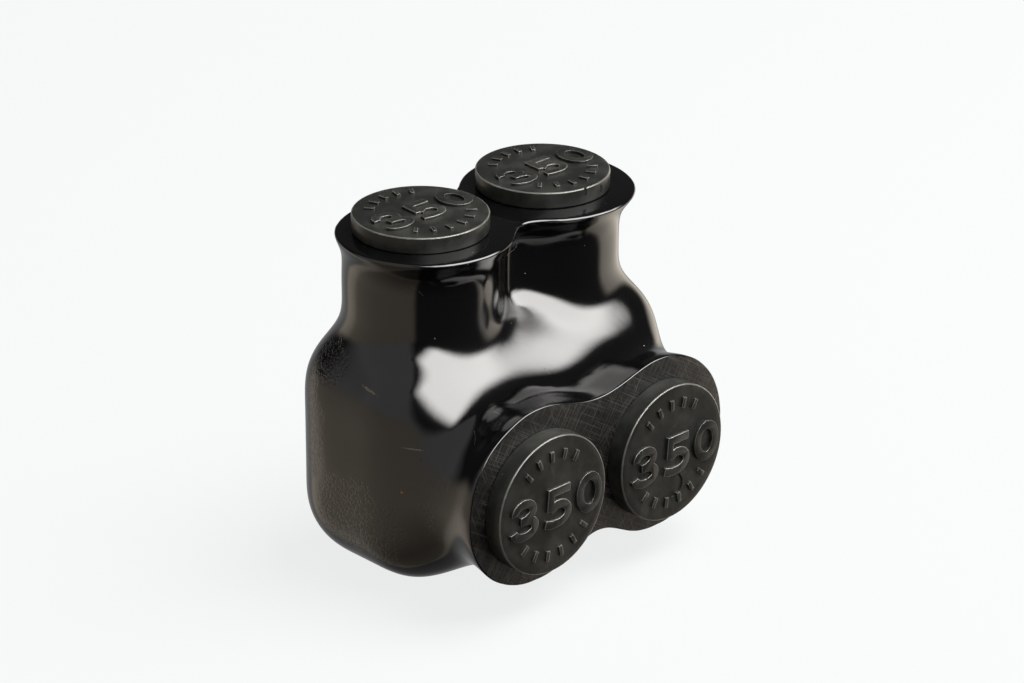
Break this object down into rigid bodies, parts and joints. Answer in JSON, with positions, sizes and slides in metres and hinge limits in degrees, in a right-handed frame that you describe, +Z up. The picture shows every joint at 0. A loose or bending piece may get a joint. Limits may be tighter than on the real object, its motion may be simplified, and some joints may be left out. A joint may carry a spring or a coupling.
{
  "type": "insulated tap connector",
  "caption": "Black insulated tap connector for heavy cable: a metal block with side-by-side ports and set screws in a glossy dip-moulded cover with ribbed plugs.",
  "frame": {"origin": "middle of the footprint, on the surface that the connector stands on", "axes": "+Z up, along the set screws; -Y out of the conductor ports; X along the row of ports"},
  "size_m": [0.0656, 0.0496, 0.0629],
  "materials": {
    "dipped_vinyl": "glossy black dip-moulded soft vinyl",
    "block_aluminium": "sawn and drilled, tin plated",
    "screw_aluminium": "turned, tin plated",
    "plug_plastic": "satin black moulded soft plastic"
  },
  "bodies": {
    "connector": {"insulating_cover": "dipped_vinyl", "terminal_block": "block_aluminium"},
    "set_screw_left": {"set_screw_left": "screw_aluminium"},
    "port_plug_left": {"port_plug_left": "plug_plastic"},
    "screw_cap_left": {"screw_cap_left": "plug_plastic"},
    "set_screw_right": {"set_screw_right": "screw_aluminium"},
    "port_plug_right": {"port_plug_right": "plug_plastic"},
    "screw_cap_right": {"screw_cap_right": "plug_plastic"}
  },
  "joints": [
    {"name": "set_screw_left_drive", "type": "slide", "parent": "connector", "child": "set_screw_left", "axis": [0, 0, -1], "range_m": [0, 0.014]},
    {"name": "port_plug_left_pull", "type": "slide", "parent": "connector", "child": "port_plug_left", "axis": [0, -1, 0], "range_m": [0, 0.06]},
    {"name": "screw_cap_left_lift", "type": "slide", "parent": "connector", "child": "screw_cap_left", "axis": [0, 0, 1], "range_m": [0, 0.04]},
    {"name": "set_screw_right_drive", "type": "slide", "parent": "connector", "child": "set_screw_right", "axis": [0, 0, -1], "range_m": [0, 0.014]},
    {"name": "port_plug_right_pull", "type": "slide", "parent": "connector", "child": "port_plug_right", "axis": [0, -1, 0], "range_m": [0, 0.06]},
    {"name": "screw_cap_right_lift", "type": "slide", "parent": "connector", "child": "screw_cap_right", "axis": [0, 0, 1], "range_m": [0, 0.04]}
  ]
}
